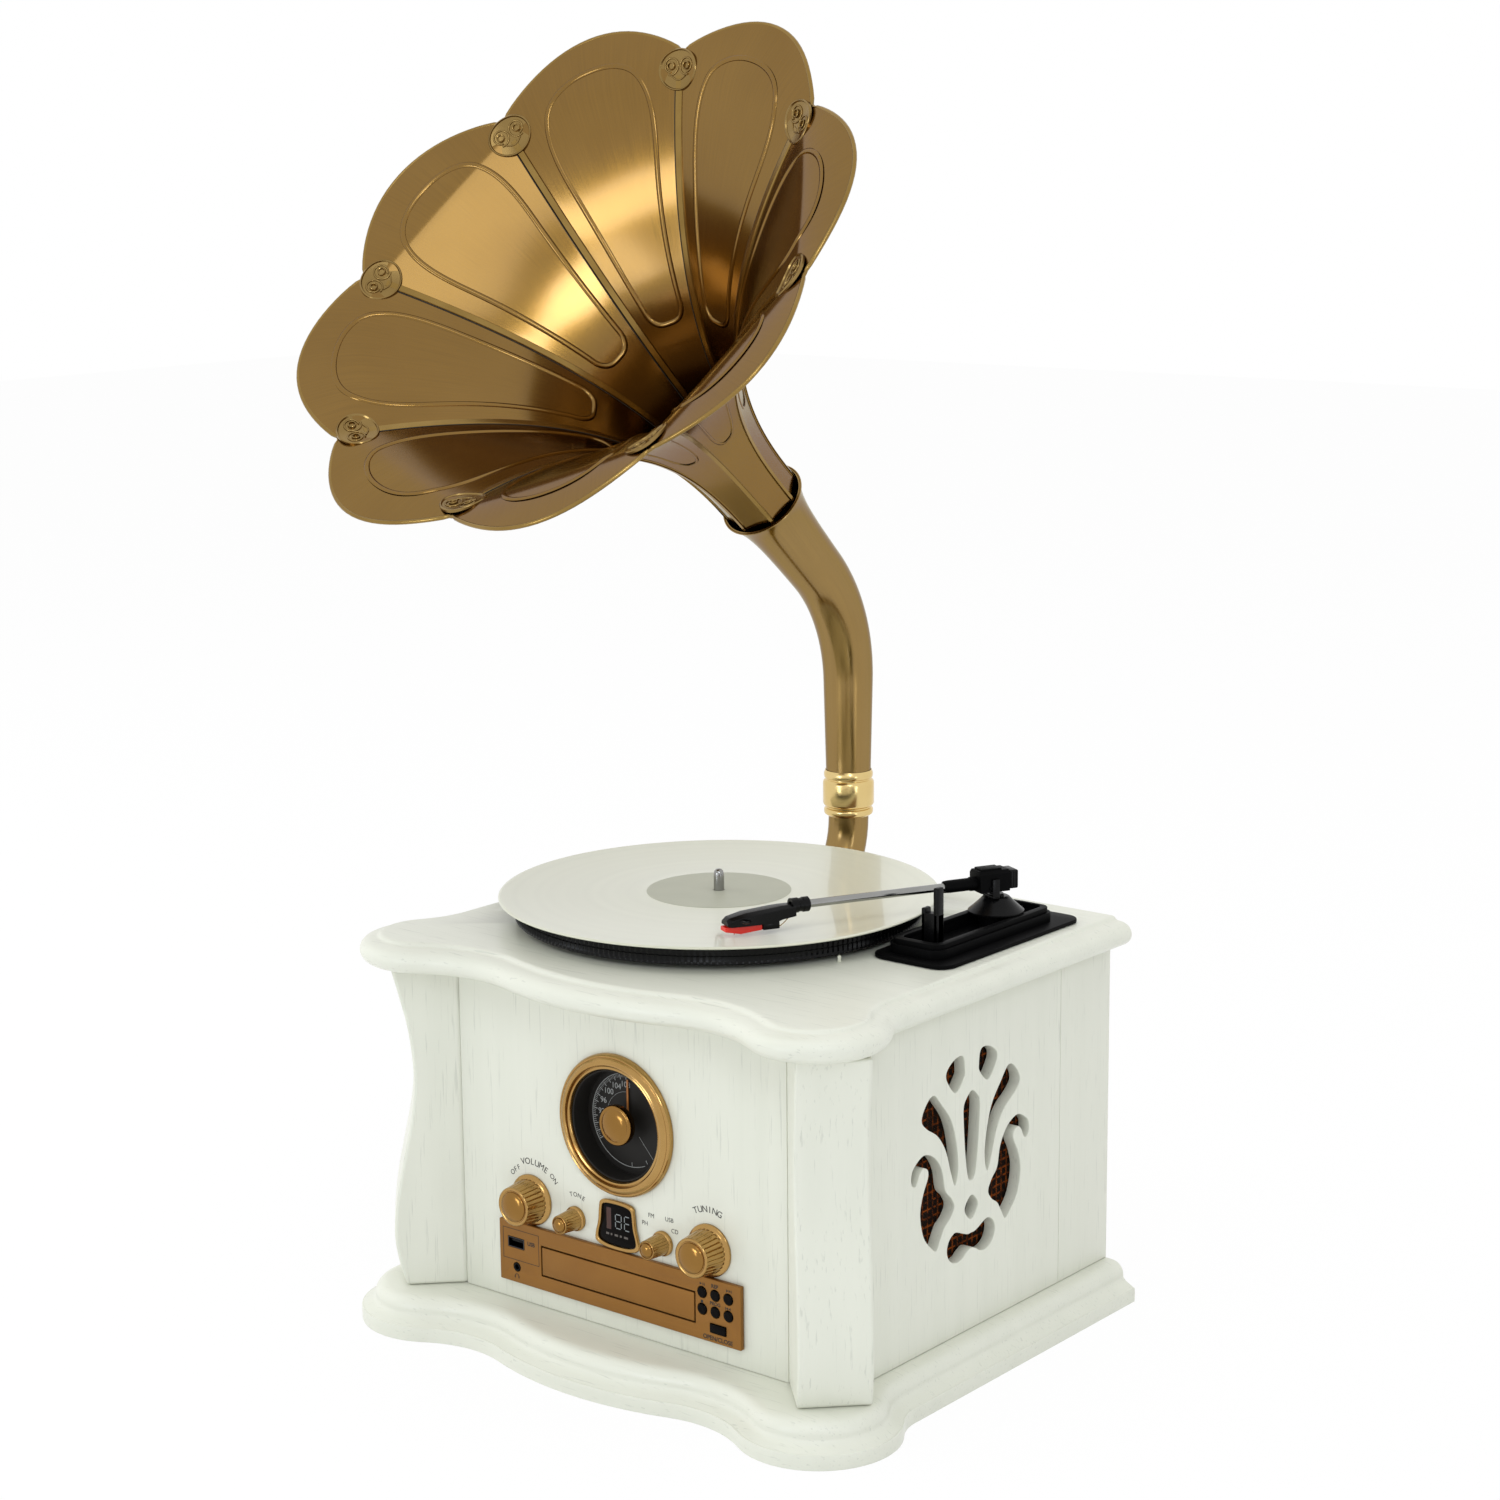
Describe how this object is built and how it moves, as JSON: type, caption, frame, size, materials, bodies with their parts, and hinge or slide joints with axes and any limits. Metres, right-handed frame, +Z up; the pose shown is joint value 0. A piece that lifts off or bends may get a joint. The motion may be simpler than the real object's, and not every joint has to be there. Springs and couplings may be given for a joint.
{
  "type": "record player",
  "caption": "Retro record player: painted wood cabinet with pierced sides, belt-driven turntable, tonearm, radio dial, disc drawer and a petalled brass horn on a swan-neck pipe.",
  "frame": {"origin": "middle of the cabinet's underside, on the flat face it stands on", "axes": "+X to the right seen from the front, -Y towards the front with the dial, +Z up"},
  "size_m": [0.5343, 0.4644, 0.8713],
  "materials": {
    "painted_wood": "satin white paint over open-grained wood",
    "fibreboard": "bare fibreboard",
    "antique_brass": "brushed and lacquered antique brass",
    "bronze_plastic": "satin bronze coating",
    "black_plastic": "fine satin texture",
    "dark_window": "polished, nearly black",
    "steel": "plain, lightly brushed",
    "chrome": "polished",
    "white_vinyl": "glossy with fine grooves",
    "grille_cloth": "coarse basket weave",
    "circuit_board": "green laminate",
    "belt_rubber": "smooth",
    "red_plastic": "moulded"
  },
  "bodies": {
    "cabinet": {"plinth": "painted_wood", "top_board": "painted_wood", "corner_post_left": "painted_wood", "corner_post_right": "painted_wood", "side_panel_left": "painted_wood", "side_panel_right": "painted_wood", "front_panel": "painted_wood", "bottom_board": "fibreboard", "back_panel": "fibreboard", "pipe_collar": "antique_brass", "lower_pipe": "antique_brass", "pipe_flange": "antique_brass", "dial_ring": "bronze_plastic", "display_bezel": "bronze_plastic", "cd_faceplate": "bronze_plastic", "dial_face": "black_plastic", "headphone_socket": "black_plastic", "power_inlet": "black_plastic", "deck_chassis": "black_plastic", "tonearm_base": "black_plastic", "tonearm_turret": "black_plastic", "arm_rest": "black_plastic", "speaker_left": "black_plastic", "speaker_right": "black_plastic", "display_window": "dark_window", "usb_socket": "steel", "cd_mechanism": "steel", "motor": "steel", "spindle": "chrome", "grille_cloth_left": "grille_cloth", "grille_cloth_right": "grille_cloth", "control_board": "circuit_board", "main_board": "circuit_board", "drive_belt": "belt_rubber"},
    "turntable": {"platter": "black_plastic", "record": "white_vinyl"},
    "pulley": {"motor_pulley": "steel"},
    "arm_swing": {"tonearm_yoke": "black_plastic"},
    "arm_lift": {"tonearm_block": "black_plastic", "tonearm_tube": "chrome", "counterweight": "black_plastic", "headshell": "black_plastic", "stylus_cartridge": "red_plastic"},
    "volume": {"volume_knob": "bronze_plastic"},
    "tone": {"tone_knob": "bronze_plastic"},
    "function": {"function_knob": "bronze_plastic"},
    "tuning": {"tuning_knob": "bronze_plastic"},
    "pointer": {"dial_pointer": "bronze_plastic"},
    "drawer": {"cd_tray": "bronze_plastic"},
    "horn_unit": {"horn": "antique_brass", "horn_elbow": "antique_brass"},
    "play_button": {"play_key": "black_plastic"},
    "repeat_button": {"repeat_key": "black_plastic"},
    "next_button": {"next_key": "black_plastic"},
    "stop_button": {"stop_key": "black_plastic"},
    "program_button": {"program_key": "black_plastic"},
    "previous_button": {"previous_key": "black_plastic"},
    "open_close_button": {"open_close_key": "black_plastic"}
  },
  "joints": [
    {"name": "platter_spin", "type": "hinge", "parent": "cabinet", "child": "turntable", "pos_m": [-0.033, -0.013, 0.285], "axis": [0, 0, -1], "continuous": true},
    {"name": "pulley_spin", "type": "hinge", "parent": "cabinet", "child": "pulley", "pos_m": [-0.09318, 0.06686, 0.28], "axis": [0, 0, -1], "continuous": true},
    {"name": "arm_swing", "type": "hinge", "parent": "cabinet", "child": "arm_swing", "pos_m": [0.139, 0.071, 0.298], "axis": [0, 0, -1], "range_deg": [-27, 20]},
    {"name": "arm_lift", "type": "hinge", "parent": "arm_swing", "child": "arm_lift", "pos_m": [0.13673, 0.06655, 0.308], "axis": [-0.891, 0.454, 0], "range_deg": [0, 12]},
    {"name": "volume_turn", "type": "hinge", "parent": "cabinet", "child": "volume", "pos_m": [-0.0775, -0.159, 0.1015], "axis": [0, 1, 0], "range_deg": [0, 300]},
    {"name": "tone_turn", "type": "hinge", "parent": "cabinet", "child": "tone", "pos_m": [-0.038, -0.159, 0.097], "axis": [0, 1, 0], "range_deg": [-135, 135]},
    {"name": "function_turn", "type": "hinge", "parent": "cabinet", "child": "function", "pos_m": [0.038, -0.159, 0.097], "axis": [0, 1, 0], "range_deg": [-60, 60]},
    {"name": "tuning_turn", "type": "hinge", "parent": "cabinet", "child": "tuning", "pos_m": [0.0775, -0.159, 0.1015], "axis": [0, 1, 0], "range_deg": [-540, 540]},
    {"name": "pointer_turn", "type": "hinge", "parent": "cabinet", "child": "pointer", "pos_m": [0, -0.159, 0.1695], "axis": [0, 1, 0], "range_deg": [-120, 120]},
    {"name": "drawer_slide", "type": "slide", "parent": "cabinet", "child": "drawer", "axis": [0, -1, 0], "range_m": [0, 0.12]},
    {"name": "horn_swivel", "type": "hinge", "parent": "cabinet", "child": "horn_unit", "pos_m": [-0.107, 0.231, 0.315], "axis": [0, 0, 1], "range_deg": [-60, 60]},
    {"name": "play_press", "type": "slide", "parent": "cabinet", "child": "play_button", "axis": [0, 1, 0], "range_m": [0, 0.0012], "stiffness_N_per_m": 300, "springref_m": -0.001},
    {"name": "repeat_press", "type": "slide", "parent": "cabinet", "child": "repeat_button", "axis": [0, 1, 0], "range_m": [0, 0.0012], "stiffness_N_per_m": 300, "springref_m": -0.001},
    {"name": "next_press", "type": "slide", "parent": "cabinet", "child": "next_button", "axis": [0, 1, 0], "range_m": [0, 0.0012], "stiffness_N_per_m": 300, "springref_m": -0.001},
    {"name": "stop_press", "type": "slide", "parent": "cabinet", "child": "stop_button", "axis": [0, 1, 0], "range_m": [0, 0.0012], "stiffness_N_per_m": 300, "springref_m": -0.001},
    {"name": "program_press", "type": "slide", "parent": "cabinet", "child": "program_button", "axis": [0, 1, 0], "range_m": [0, 0.0012], "stiffness_N_per_m": 300, "springref_m": -0.001},
    {"name": "previous_press", "type": "slide", "parent": "cabinet", "child": "previous_button", "axis": [0, 1, 0], "range_m": [0, 0.0012], "stiffness_N_per_m": 300, "springref_m": -0.001},
    {"name": "open_close_press", "type": "slide", "parent": "cabinet", "child": "open_close_button", "axis": [0, 1, 0], "range_m": [0, 0.0012], "stiffness_N_per_m": 300, "springref_m": -0.001}
  ],
  "couplings": [
    {"joint": "pulley_spin", "follows": "platter_spin", "ratio": 10.5},
    {"joint": "pointer_turn", "follows": "tuning_turn", "ratio": 0.2222}
  ]
}
